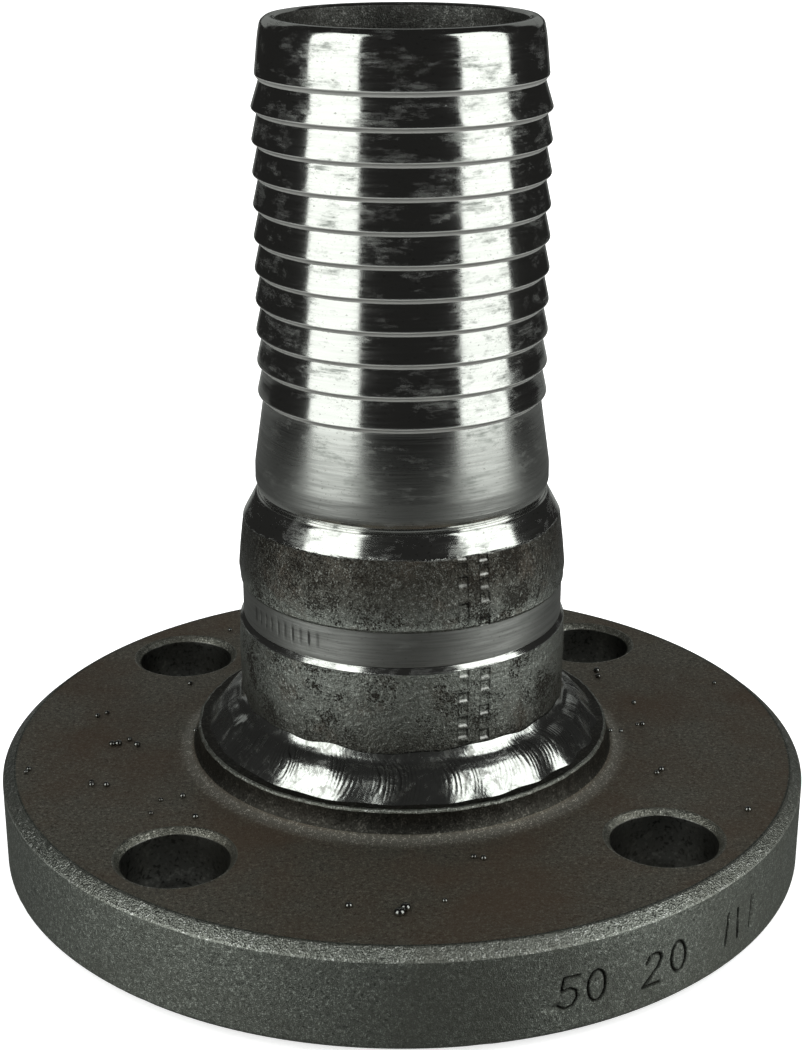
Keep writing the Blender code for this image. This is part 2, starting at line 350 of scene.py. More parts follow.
def make_flange():
    """The flange as one closed mesh: the rim, the hub with the bore, and the four holes."""
    angles = np.concatenate([
        crowded_angles(QUARTER * q, QUARTER * (q + 1), COLUMN_STEP, [PUNCHED_ZONE]) for q in range(4)])
    grids = [rim_ring(angles[None, :]), hub_and_bore_ring(angles[None, :])]
    for number, middle in enumerate(HOLE_SPREAD):
        grids += hole_and_flats(middle, QUARTER * number, angles)
    piece = solid("flange_forging", grids)
    points = np.empty(len(piece.data.vertices) * 3)
    piece.data.vertices.foreach_get("co", points)
    x, y, z = points.reshape(-1, 3).T / MM
    turn = np.degrees(np.arctan2(y, x)) % 360.0
    reach = np.hypot(x, y)
    # Painted shade in the punched size marks on the rim, stored as a layer
    add_layer(piece, "painted_mark_shade", rim_stamp_depth(turn, z) / STAMP_DEPTH * (reach > RIM - 1.0))
    # The fillet at the hub's foot is rubbed bright in a ring that fades to both sides
    rubbed = 0.8 * np.exp(-((reach - HUB - 2.1) / 1.2) ** 2)
    rubbed = rubbed * clamp((reach - HUB - 0.8) / 0.6)
    add_layer(piece, "worn", rubbed * (z > TOP_FACE - 0.1))
    return piece


flange = make_flange()
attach(flange, "root")
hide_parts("flange")


def node(tree, kind, inputs=None, **settings):
    """Adds a node, sets its settings, and fills its inputs from sockets or plain values."""
    made = tree.nodes.new(kind)
    for name, value in settings.items():
        setattr(made, name, value)
    for name, value in (inputs or {}).items():
        if isinstance(value, bpy.types.NodeSocket):
            tree.links.new(value, made.inputs[name])
        else:
            made.inputs[name].default_value = value
    return made


def shade(tree, operation, first, second, third=0.0):
    """The result of one sum on two or three values."""
    made = node(tree, "ShaderNodeMath", {0: first, 1: second, 2: third}, operation=operation)
    return made.outputs[0]


def blend_colours(tree, share, first, second):
    """A colour between two others."""
    made = node(tree, "ShaderNodeMix", data_type="RGBA")
    for socket, value in zip((made.inputs[0], made.inputs[6], made.inputs[7]), (share, first, second)):
        if isinstance(value, bpy.types.NodeSocket):
            tree.links.new(value, socket)
        else:
            socket.default_value = (*value, 1.0) if isinstance(value, tuple) else value
    return made.outputs[2]


def noise(tree, place, scale, detail, roughness=0.5, distortion=0.0):
    """Soft noise at a place, scale cells to the metre; its value comes first, then its colour."""
    return node(tree, "ShaderNodeTexNoise", {
        "Vector": place, "Scale": scale, "Detail": detail, "Roughness": roughness,
        "Distortion": distortion}).outputs


def ramp_between(tree, value, low, high):
    """0 under low, 1 over high, straight between."""
    made = node(tree, "ShaderNodeMapRange", {"Value": value, "From Min": low, "From Max": high})
    return made.outputs[0]


def effect(name, numbers, outputs):
    """An empty shader node group that takes a place and some numbers and puts out values."""
    group = bpy.data.node_groups.new(name, "ShaderNodeTree")
    group.interface.new_socket("Place", in_out="INPUT", socket_type="NodeSocketVector")
    for number, value in numbers.items():
        socket = group.interface.new_socket(number, in_out="INPUT", socket_type="NodeSocketFloat")
        socket.default_value = value
    for output in outputs:
        group.interface.new_socket(output, in_out="OUTPUT", socket_type="NodeSocketFloat")
    return group, group.nodes.new("NodeGroupInput").outputs, group.nodes.new("NodeGroupOutput").inputs


def make_grain():
    """Fine grit: two sizes of noise as a height, its tips as sparkle and its hollows as dirt."""
    group, given, out = effect("grit", {"Per metre": 2600.0}, ["Height", "Sparkle", "Dark"])
    fine = noise(group, given[0], given[1], 2.0)[0]
    coarse = noise(group, given[0], shade(group, "MULTIPLY", given[1], 0.33), 3.0)[0]
    height = shade(group, "MULTIPLY_ADD", fine, 0.6, shade(group, "MULTIPLY", coarse, 0.4))
    group.links.new(height, out[0])
    group.links.new(ramp_between(group, height, 0.54, 0.63), out[1])
    group.links.new(ramp_between(group, height, 0.46, 0.37), out[2])
    return group


def make_stains():
    """Broad soft stains and small sharp ones, as masks."""
    group, given, out = effect("stains", {"Per metre": 60.0}, ["Broad", "Sharp"])
    broad = noise(group, given[0], given[1], 5.0, 0.6)[0]
    sharp = noise(group, given[0], shade(group, "MULTIPLY", given[1], 3.7), 6.0, 0.7, 0.6)[0]
    group.links.new(ramp_between(group, broad, 0.42, 0.66), out[0])
    group.links.new(ramp_between(group, sharp, 0.50, 0.62), out[1])
    return group


GRIT = make_grain()
STAINS = make_stains()


def place_effect(tree, group, place, **numbers):
    """One of the shared effects, placed in a material with its own numbers."""
    made = node(tree, "ShaderNodeGroup", node_tree=group)
    tree.links.new(place, made.inputs["Place"])
    for name, value in numbers.items():
        made.inputs[name.replace("_", " ")].default_value = value
    return made.outputs


def new_finish(name, metallic=1.0):
    """A new material with its shader, and the place on the piece in metres."""
    finish = bpy.data.materials.new(name)
    finish.use_nodes = True
    tree = finish.node_tree
    shader = tree.nodes["Principled BSDF"]
    shader.inputs["Metallic"].default_value = metallic
    place = node(tree, "ShaderNodeTexCoord").outputs["Object"]
    return finish, tree, shader, place


def read_layer(tree, name):
    """The numbers that add_layer stored under a name, or 0 where a piece has none."""
    return node(tree, "ShaderNodeAttribute", attribute_name=name).outputs["Fac"]


def raise_surface(tree, shader, height, distance):
    """Feeds a height to the shader's normal, distance metres tall."""
    bump = node(tree, "ShaderNodeBump", {"Height": height, "Distance": distance, "Strength": 1.0})
    tree.links.new(bump.outputs[0], shader.inputs["Normal"])


BROAD_STAINS = 45.0
RUBBED_STEEL, RUBBED_GLINT = (0.29, 0.28, 0.245), (1.0, 0.97, 0.86)
# Painted shade laid into punched marks
MARK_SHADE = (0.015, 0.014, 0.012)


def gritty_finish(name, dark, light, stain, roughness, grit, bump, metallic=1.0):
    """Bare steel with grit, broad stains, rubbed places, and painted shade in its punched marks.

    The colour goes from dark to light with the grit's sparkle, and from there to each
    stain, wear or painted shade with its own mask.
    """
    finish, tree, shader, place = new_finish(name, metallic)
    grain = place_effect(tree, GRIT, place, Per_metre=grit)
    stains = place_effect(tree, STAINS, place, Per_metre=BROAD_STAINS)
    colour = blend_colours(tree, grain["Sparkle"], dark, light)
    colour = blend_colours(tree, grain["Dark"], colour, tuple(0.35 * level for level in dark))
    colour = blend_colours(tree, stains["Broad"], colour, blend_colours(tree, 0.6, colour, stain))
    rubbed = blend_colours(tree, grain["Sparkle"], RUBBED_STEEL, RUBBED_GLINT)
    colour = blend_colours(tree, read_layer(tree, "worn"), colour, rubbed)
    # Painted shade in the punched marks, read from their layer
    colour = blend_colours(tree, read_layer(tree, "painted_mark_shade"), colour, MARK_SHADE)
    tree.links.new(colour, shader.inputs["Base Color"])
    rough = shade(tree, "MULTIPLY_ADD", stains["Broad"], 0.10, roughness)
    rough = shade(tree, "MULTIPLY_ADD", grain["Sparkle"], -0.08, rough)
    tree.links.new(rough, shader.inputs["Roughness"])
    raise_surface(tree, shader, grain["Height"], bump)
    return finish


# In the order of the finish numbers, each: name, dark, light, stain, roughness,
# grit to the metre, height of the grit in metres, metallic
FLANGE_FINISHES = [
    ("forged_top_skin", (0.175, 0.162, 0.132), (0.34, 0.32, 0.265), (0.16, 0.105, 0.07),
     0.50, 4200.0, 0.00016, 0.90),
    ("turned_rim_skin", (0.17, 0.178, 0.16), (0.46, 0.48, 0.44), (0.12, 0.12, 0.105),
     0.50, 4800.0, 0.00022, 1.0),
    ("filed_corners", (0.36, 0.37, 0.335), (1.0, 1.0, 0.97), (0.27, 0.265, 0.235),
     0.36, 3400.0, 0.00038, 1.0),
    ("machined_bore_and_face", (0.20, 0.20, 0.19), (0.34, 0.34, 0.32), (0.13, 0.12, 0.10),
     0.36, 1400.0, 0.00002, 1.0),
    ("hub_side_skin", (0.055, 0.053, 0.047), (0.15, 0.14, 0.125), (0.05, 0.042, 0.035),
     0.48, 3000.0, 0.00012, 1.0),
    ("hole_corners", (0.30, 0.30, 0.265), (0.9, 0.88, 0.80), (0.26, 0.24, 0.20),
     0.40, 3400.0, 0.00030, 1.0),
]
for flange_finish in FLANGE_FINISHES:
    flange.data.materials.append(gritty_finish(*flange_finish))

# ------------------------------------------------------------
# The hose stem.  One piece of carbon steel, forged and then turned: the barbs, land,
# ferrule groove, cone and band are cut on the lathe.  The collar and the end under it
# keep the dark forged skin, dented by the jaws of the chuck that held it.

stem_low, stem_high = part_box("hose_stem")
STEM_TOP = stem_high.z / MM
STEM_END = stem_low.z / MM
STEM_BORE = 21.7
END_BORE = 26.25
# Radius that parts the outside from the bore, below the groove
OUTSIDE = 26.3
BARBS = 10
BARB_PITCH = 5.615
# Radii of a crest and of the root under it
TIP_RADII, BARB_RADII = (25.42, 24.75), (26.15, 25.16)
TIP_CREST = STEM_TOP - 9.5
# The forging lies this far off the lathe's axis, toward an angle, so a cut meets it unevenly
FORGING_SHIFT, FORGING_SHIFT_TOWARD = 0.35, 95.0
SKIN_LUMPS, SKIN_ROUGHNESS = 0.07, 0.012
CONE_TOP = 72.0
CONE_START, CONE_SLOPE, CONE_LEVEL = 27.58, 0.53, 70.48
BAND = (48.3, 54.9)
BAND_RADIUS = 29.85
# The chamfer under the band, and the forged body under that
CHAMFER_TOP, CHAMFER_SLOPE = 47.9, 0.72
BODY_RADIUS = 30.5
JAW_MARKS = (286.4, 294.4)
JAW_PITCH = 2.4
JAW_DEPTH = 0.26
TICKS_FROM, TICKS_TO, TICK_GAP = 203.0, 236.0, 3.6
TICK_LEVEL, TICK_HALF, TICK_WIDTH, TICK_DEPTH = 51.8, 1.4, 0.30, 0.14
NICK_DEPTH = 0.12
STEM_STEP = 1.9
STEM_ZONES = [(281.0, 299.5, 0.45), (TICKS_FROM, TICKS_TO, 0.55)]
# The collar's forged swell, by height
COLLAR_LEVELS = [54.9, 55.3, 57.8, 61.5, 65.1, 67.5, 69.5, 71.8]
COLLAR_RADII = [29.85, 30.20, 30.47, 30.10, 29.66, 29.36, 28.9, 28.3]
# How dull and how grey the turned steel is, by height
POLISH_LEVELS = [47.9, 48.1, 48.2, 54.9, 55.2, 73.6, 74.4, 77.2, 77.4, 84.0, 89.4, 90.4, 150.0]
DULLNESS = [0.10, 0.10, 0.44, 0.44, 0.10, 0.10, 0.42, 0.42, 0.32, 0.24, 0.16, 0.10, 0.08]
GREYNESS = [0.75, 0.75, 0.27, 0.27, 0.70, 0.70, 0.26, 0.26, 0.34, 0.38, 0.46, 0.60, 0.62]
# How much dark oxide is left on the forged skin, by height
OXIDE_LEVELS = [31.0, 34.0, 39.0, 56.2, 59.5, 64.0]
OXIDE = [0.85, 0.6, 0.0, 0.0, 0.75, 1.0]


def barb_corners():
    """Corners of the tip and the barbs: a crest, a short undercut and a slope to the next."""
    corners = []
    for index in range(BARBS + 1):
        crest_z = TIP_CREST - index * BARB_PITCH
        crest, root = TIP_RADII if index == 0 else BARB_RADII
        corners += [(crest, crest_z + 0.06, 0.10, 0), (crest - 0.05, crest_z - 0.20, 0.12, 0)]
        corners += [(root + 0.07, crest_z - 0.92, 0.10, 0), (root, crest_z - 1.07, 0.08, 2.3)]
    return corners


def stem_corners():
    """The whole section of the stem, down the outside and up the bore."""
    mouth = [(STEM_BORE + 0.5, STEM_TOP, 0.15, 0), (23.3, STEM_TOP, 0.2, 0),
             (24.3, STEM_TOP - 0.75, 0.5, 0), (24.75, STEM_TOP - 3.0, 1.0, 1.6)]
    land = [(26.97, 77.3, 0.4, 1.0), (27.0, 74.3, 0.2, 0), (26.62, 72.9, 0.15, 0), (26.2, 72.5, 0.06, 0)]
    groove = [(26.15, 72.15, 0.05, 0), (26.5, 72.05, 0.05, 0), (26.55, 71.8, 0.05, 0),
              (26.85, 71.75, 0.05, 0.3)]
    collar = [(29.3, 67.1, 0.3, 0.3), (29.62, 65.1, 0.5, 0.3), (30.1, 61.5, 0.6, 0.3),
              (30.47, 57.8, 1.4, 0.3), (30.2, 55.3, 0.12, 0)]
    band = [(BAND_RADIUS, BAND[1], 0.10, 0.5), (29.82, BAND[0], 0.08, 0), (29.60, 48.14, 0.05, 0),
            (BAND_RADIUS, CHAMFER_TOP, 0.05, 0.2)]
    body = [(30.6, 46.8, 0.1, 0.33), (30.55, 32.0, 0.5, 0.45), (30.4, 27.5, 0.5, 2.0),
            (30.15, 24.0, 0.5, 4.0)]
    bore = [(30.15, STEM_END, 0.4, 0), (END_BORE, STEM_END, 0.3, 6.0), (END_BORE, 62.0, 1.0, 3.0),
            (STEM_BORE, 72.0, 1.0, 6.0), (STEM_BORE, STEM_TOP - 0.5, 0.1, 0)]
    return mouth + barb_corners() + land + groove + collar + band + body + bore


def jaw_cells(degrees, height):
    """Each jaw's ladder: millimetres across it, millimetres up its cell, and how hard it bit."""
    for number, middle in enumerate(JAW_MARKS):
        step = height / JAW_PITCH + 0.35 * number
        across = np.radians(degrees - middle) * (BODY_RADIUS - 0.1) + 0.0 * height
        along = (step - np.floor(step) - 0.5) * JAW_PITCH
        yield np.abs(across), along + 0.0 * across, 0.7 + 0.3 * np.sin(np.floor(step) * 2.7 + 2.0 * number)


def jaw_depth(degrees, height):
    """Two ladders of square dents from the chuck's jaws, 0 to 1, fainter here and there."""
    depth = 0.0
    for across, along, bite in jaw_cells(degrees, height):
        square = clamp((0.90 - across) / 0.22)
        depth = depth + square * clamp((0.85 - np.abs(along)) / 0.22) * bite
    return depth


def jaw_shade_and_highlight(degrees, height):
    """Painted shade on the sides and tops of the jaw dents, and a painted highlight on the lower lip of
    each, 0 to 1.
    """
    dark, bright = 0.0, 0.0
    for across, along, bite in jaw_cells(degrees, height):
        sides = np.exp(-((across - 0.92) / 0.16) ** 2) * (np.abs(along) < 1.0)
        top = np.exp(-((along - 0.72) / 0.15) ** 2) * (across < 0.95)
        dark = dark + (sides + top) * bite
        bright = bright + np.exp(-((along + 0.78) / 0.13) ** 2) * (across < 0.78) * (bite > 0.55)
    return dark, bright


def make_stem():
    """The stem as one closed ring of points: its section carried round the axis.

    Where the skin stayed forged it's pushed out of true, and the lathe's cone and
    chamfer cut it back to the smaller radius of the two, which is where it's machined.
    """
    angles = crowded_angles(0.0, 360.0, STEM_STEP, STEM_ZONES)[None, :]
    section = outline(stem_corners(), closed=True, curve_points=3)
    radius, height = carried_round(section, angles)
    outside = radius > OUTSIDE
    skin = FORGING_SHIFT * np.cos(np.radians(angles - FORGING_SHIFT_TOWARD)) + 0.0 * height
    skin = skin + SKIN_LUMPS * waves(angles, height, 11, 16, 9, 0.35)
    skin = skin + SKIN_ROUGHNESS * waves(angles, height, 12, 40, 75, 2.6)

    collar = (height < CONE_TOP - 0.4) & (height > BAND[1] - 0.05) & outside
    cone = CONE_START + CONE_SLOPE * (CONE_LEVEL - height)
    forged = np.interp(height, COLLAR_LEVELS, COLLAR_RADII)
    forged = forged + skin * clamp((height - BAND[1]) / 1.2)
    machined = np.where(collar, clamp((forged - cone) / 0.06), 1.0)
    radius = np.where(collar, np.minimum(forged, cone), radius)

    body = (height < CHAMFER_TOP + 0.06) & (height > 24.0) & outside
    chamfer = BAND_RADIUS + (CHAMFER_TOP - height) * CHAMFER_SLOPE
    forged = np.where(height > 44.0, BODY_RADIUS, radius)
    forged = forged + skin * np.interp(height, [25.0, 30.0, 38.0, 46.0], [0.0, 1.0, 1.0, 0.3])
    machined = np.where(body, clamp((forged - chamfer) / 0.06), machined)
    radius = np.where(body, np.minimum(forged, chamfer), radius)

    skin_left = 1.0 - machined
    radius = radius - JAW_DEPTH * jaw_depth(angles, height) * skin_left * (height > 30.0)
    tick_step = (angles - TICKS_FROM) / TICK_GAP
    ticks = np.exp(-((tick_step - np.round(tick_step)) * TICK_GAP / TICK_WIDTH) ** 2)
    ticks = ticks * np.exp(-((height - TICK_LEVEL) / TICK_HALF) ** 8)
    ticks = ticks * (angles > TICKS_FROM) * (angles < TICKS_TO)
    radius = radius - TICK_DEPTH * ticks * outside
    nicks = clamp(waves(angles, height, 21, 30, 120, 3.0) - 2.1)
    radius = radius - NICK_DEPTH * nicks * (height > CONE_TOP) * outside
    reach, level = section.T
    in_bore = (reach < OUTSIDE) & ((level < 71.0) | (reach < STEM_BORE + 0.35))
    bore_rows = (in_bore & np.roll(in_bore, -1)).astype(int)
    piece = solid("hose_stem_body", [(around(radius, height, angles), bore_rows)])

    # The barbs' undercuts are rough, and carry a painted highlight that is paler towards their roots
    before, after = np.roll(section, 1, 0), np.roll(section, -1, 0)
    inward = (before[:, 0] - after[:, 0]) / np.maximum(before[:, 1] - after[:, 1], 0.01)
    undercut = (inward > 0.25) & (level > 80.0) & (level < 152.0)
    from_crest = (TIP_CREST - 0.2 - level) % BARB_PITCH
    undercut_highlight = np.interp(from_crest, [0.0, 0.25, 0.62, 0.85], [0.25, 0.35, 0.8, 0.8]) * undercut
    dullness = np.where(undercut, 0.45, np.interp(level, POLISH_LEVELS, DULLNESS))
    # In the undercuts the grey carries the painted highlight
    greyness = np.where(undercut, 0.2 + 0.3 * undercut_highlight, np.interp(level, POLISH_LEVELS, GREYNESS))
    # A painted shadow in a thin line just under the band
    shadow_under_band = np.interp(level, [48.10, 48.14, 48.24, 48.30], [0.0, 1.0, 1.0, 0.0])
    # Painted shade on the jaw dents' sides and tops, and a painted highlight on their lower lips
    dark, bright = (edges * skin_left * (height > 31.0) for edges in jaw_shade_and_highlight(angles, height))
    add_layer(piece, "machined", machined)
    add_layer(piece, "dullness", dullness[:, None] + 0.0 * angles)
    add_layer(piece, "greyness", greyness[:, None] + 0.0 * angles)
    add_layer(piece, "oxide", np.interp(height, OXIDE_LEVELS, OXIDE))
    # Painted shade in the jaw dents, the ticks and the line under the band
    add_layer(piece, "painted_mark_shade", clamp(dark + ticks + shadow_under_band[:, None]))
    # Painted highlight on the jaw dents' lower lips and in the undercuts
    add_layer(piece, "painted_highlight", clamp(bright + 0.55 * undercut_highlight[:, None]))
    return piece


stem = make_stem()
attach(stem, "root")
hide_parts("hose_stem")


def stretched_place(tree, place, sideways, upwards):
    """A place scaled for noise: some cells per metre round the piece, and others up it."""
    scale = (sideways, sideways, upwards)
    return node(tree, "ShaderNodeVectorMath", {0: place, 1: scale}, operation="MULTIPLY").outputs[0]


def make_turning_lines():
    """The lathe tool's fine lines round a turned surface: a height, and streaks as a mask."""
    group, given, out = effect("turning_lines", {}, ["Height", "Streaks"])
    fine = noise(group, stretched_place(group, given[0], 70.0, 5200.0), 1.0, 2.0)[0]
    broad = noise(group, stretched_place(group, given[0], 110.0, 2300.0), 1.0, 3.0)[0]
    group.links.new(fine, out[0])
    group.links.new(ramp_between(group, broad, 0.36, 0.68), out[1])
    return group


def make_haze():
    """Dull patches where oil and handling dried on bright steel, drawn out sideways.

    Broad cloudy patches are cut by thin sideways streaks, and fine specks lie between.
    """
    group, given, out = effect("dried_haze", {"Cover": 0.5}, ["Haze", "Specks"])
    clouds = noise(group, stretched_place(group, given[0], 130.0, 300.0), 1.0, 8.0, 0.70)[0]
    edge = shade(group, "SUBTRACT", 0.80, shade(group, "MULTIPLY", given[1], 0.5))
    patches = ramp_between(group, shade(group, "SUBTRACT", clouds, edge), 0.0, 0.13)
    streaks = noise(group, stretched_place(group, given[0], 260.0, 2900.0), 1.0, 3.0)[0]
    drawn = shade(group, "MULTIPLY_ADD", ramp_between(group, streaks, 0.36, 0.60), 0.85, 0.15)
    group.links.new(shade(group, "MULTIPLY", patches, drawn), out[0])
    specks = noise(group, stretched_place(group, given[0], 1500.0, 3000.0), 1.0, 2.0)[0]
    group.links.new(ramp_between(group, specks, 0.64, 0.74), out[1])
    return group


PIT_BEND = (0.0006, 0.0006, 0.0006)


def make_pits():
    """Scale pits of a forged skin: small round pits gathered in patches, lumps, and rust stains.

    The pits are the middles of cells, bent a little by noise, and a cell's pit is as
    wide as the broad noise of the patches allows.
    """
    group, given, out = effect("forged_pits", {"Per metre": 2700.0}, ["Height", "Pits", "Rust"])
    place, per_metre = given[0], given[1]
    bend = node(group, "ShaderNodeVectorMath", {0: noise(group, place, 2600.0, 2.0)[1], 1: PIT_BEND},
                operation="MULTIPLY")
    bent = node(group, "ShaderNodeVectorMath", {0: place, 1: bend.outputs[0]}, operation="ADD")
    cells = node(group, "ShaderNodeTexVoronoi", {"Vector": bent.outputs[0], "Scale": per_metre})
    patches = noise(group, place, shade(group, "MULTIPLY", per_metre, 0.055), 7.0, 0.68)[0]
    spread = ramp_between(group, patches, 0.42, 0.64)
    reach = shade(group, "MULTIPLY_ADD", spread, 0.64, 0.12)
    pits = ramp_between(group, shade(group, "SUBTRACT", reach, cells.outputs[0]), 0.0, 0.14)
    lumps = noise(group, place, shade(group, "MULTIPLY", per_metre, 0.6), 5.0, 0.62)[0]
    rust = noise(group, place, shade(group, "MULTIPLY", per_metre, 0.045), 6.0, 0.7)[0]
    group.links.new(shade(group, "MULTIPLY_ADD", pits, -0.5, lumps), out[0])
    group.links.new(pits, out[1])
    group.links.new(ramp_between(group, rust, 0.54, 0.72), out[2])
    return group


TURNING_LINES = make_turning_lines()
HAZE = make_haze()
PITS = make_pits()
DULL_LINE, DRIED_HAZE, SPECK = (0.09, 0.09, 0.085), (0.22, 0.23, 0.215), (0.10, 0.095, 0.085)
GREY_SKIN, OXIDE_SKIN, RUST = (0.25, 0.26, 0.24), (0.080, 0.074, 0.064), (0.12, 0.098, 0.080)
GLINT, SOOT, PIT = (0.80, 0.82, 0.78), (0.02, 0.02, 0.018), (0.030, 0.024, 0.020)
# Painted highlight for the jaw dents' lips and the undercuts, and painted shade for the stem's marks
PAINTED_HIGHLIGHT, GROOVE_SHADE = (0.72, 0.72, 0.69), (0.012, 0.011, 0.010)


def stem_finish():
    """Turned steel where the lathe cut and forged skin where it didn't, by the stem's layers.

    Turned steel is grey by its layer, darker along dull tool lines and under dried haze
    and specks.  Forged skin is grey to dark with oxide, with rust, glints and pits.
    Over both lie a painted highlight on the jaw dents' lips and the barbs' undercuts,
    and painted shade in the jaw dents, the ticks and the line under the band.
    """
    finish, tree, shader, place = new_finish("turned_and_forged_steel")
    machined, dullness, greyness, oxide, painted_mark_shade, painted_highlight = (
        read_layer(tree, name) for name in
        ("machined", "dullness", "greyness", "oxide", "painted_mark_shade", "painted_highlight"))
    lines = place_effect(tree, TURNING_LINES, place)
    dried = place_effect(tree, HAZE, place, Cover=0.56)
    pits = place_effect(tree, PITS, place)
    stains = place_effect(tree, STAINS, place, Per_metre=70.0)
    grain = place_effect(tree, GRIT, place, Per_metre=4200.0)

    grey = node(tree, "ShaderNodeCombineColor", {
        0: greyness, 1: greyness, 2: shade(tree, "MULTIPLY", greyness, 0.97)}).outputs[0]
    dull_line = shade(tree, "MULTIPLY", lines["Streaks"], dullness)
    turned = blend_colours(tree, dull_line, grey, DULL_LINE)
    cover = shade(tree, "MULTIPLY_ADD", dullness, -1.6, 1.1)
    haze = shade(tree, "MULTIPLY", dried["Haze"], cover)
    turned = blend_colours(tree, haze, turned, DRIED_HAZE)
    turned = blend_colours(tree, shade(tree, "MULTIPLY", dried["Specks"], 0.55), turned, SPECK)

    skin = blend_colours(tree, oxide, GREY_SKIN, OXIDE_SKIN)
    skin = blend_colours(tree, pits["Rust"], skin, RUST)
    glint_share = shade(tree, "MULTIPLY_ADD", oxide, -0.25, 0.5)
    skin = blend_colours(tree, shade(tree, "MULTIPLY", grain["Sparkle"], glint_share), skin, GLINT)
    skin = blend_colours(tree, grain["Dark"], skin, blend_colours(tree, 0.6, skin, SOOT))
    pit_share = shade(tree, "MULTIPLY_ADD", oxide, -0.3, 0.9)
    skin = blend_colours(tree, shade(tree, "MULTIPLY", pits["Pits"], pit_share), skin, PIT)

    colour = blend_colours(tree, machined, skin, turned)
    # Painted highlight on the jaw dents' lips and the barbs' undercuts
    colour = blend_colours(tree, painted_highlight, colour, PAINTED_HIGHLIGHT)
    # Painted shade in the jaw dents, the ticks and the line under the band
    colour = blend_colours(tree, painted_mark_shade, colour, GROOVE_SHADE)
    tree.links.new(colour, shader.inputs["Base Color"])

    matt = shade(tree, "MULTIPLY", shade(tree, "MULTIPLY", haze, machined), 0.09)
    # Less metallic under the painted highlight, so it also takes pale diffuse light from the air
    bare = shade(tree, "SUBTRACT", 1.0, shade(tree, "MULTIPLY_ADD", painted_highlight, 0.55, matt))
    tree.links.new(bare, shader.inputs["Metallic"])
    turned_rough = shade(tree, "MULTIPLY_ADD", lines["Streaks"], 0.07, dullness)
    turned_rough = shade(tree, "MULTIPLY_ADD", haze, 0.26, turned_rough)
    forged_rough = shade(tree, "MULTIPLY_ADD", stains["Broad"], 0.10, 0.32)
    forged_rough = shade(tree, "MULTIPLY_ADD", pits["Pits"], 0.2, forged_rough)
    rough = node(tree, "ShaderNodeMix", {0: machined, 2: forged_rough, 3: turned_rough})
    tree.links.new(rough.outputs[0], shader.inputs["Roughness"])
    line_share = shade(tree, "MULTIPLY_ADD", dullness, 0.25, 0.02)
    line_height = shade(tree, "MULTIPLY", lines["Height"], line_share)
    forged_height = shade(tree, "MULTIPLY_ADD", grain["Height"], 0.35, pits["Height"])
    height = node(tree, "ShaderNodeMix", {0: machined, 2: forged_height, 3: line_height})
    raise_surface(tree, shader, height.outputs[0], 0.00028)
    return finish


stem.data.materials.append(stem_finish())
stem.data.materials.append(gritty_finish("stem_bore_skin", (0.14, 0.14, 0.132), (0.42, 0.42, 0.40),
                                         (0.12, 0.11, 0.10), 0.52, 3600.0, 0.00022))

# ------------------------------------------------------------
# The fillet weld.  A bead of weld metal run round the foot of the stem on the
# hub's top face.  Its face carries the crescent ripples of the arc, one for
# each small step of the rod, and its two toes wander.

# The bead's face, from the stem's toe to the hub's: shares of the way, radii, heights
FACE_SHARES = [0.0, 0.08, 0.2, 0.32, 0.46, 0.60, 0.74, 0.86, 0.94, 1.0]
FACE_RADII = [30.45, 30.8, 31.5, 32.5, 33.55, 34.5, 35.4, 36.25, 36.8, 37.05]
FACE_HEIGHTS = [32.2, 31.4, 30.6, 29.95, 29.15, 28.2, 27.15, 26.05, 25.4, 25.05]
FACE_ROWS = 50
RIPPLE = 0.85
# The ripples run along a circle of this radius
BEAD_LINE = 34.0
# Where the bead's end laps its start, and how far it stands up there
LAP_ANGLE, LAP_WIDTH, LAP_RISE = 200.0, 3.0, 0.5
# A push goes out and up in these shares, square to the face
PUSH_OUT, PUSH_UP = 0.62, 0.78
TOE_WANDER, TOP_WANDER = 0.32, 0.30
RIDGE_RISE, FINE_RISE, SWELL_RISE = 0.055, 0.012, 0.08


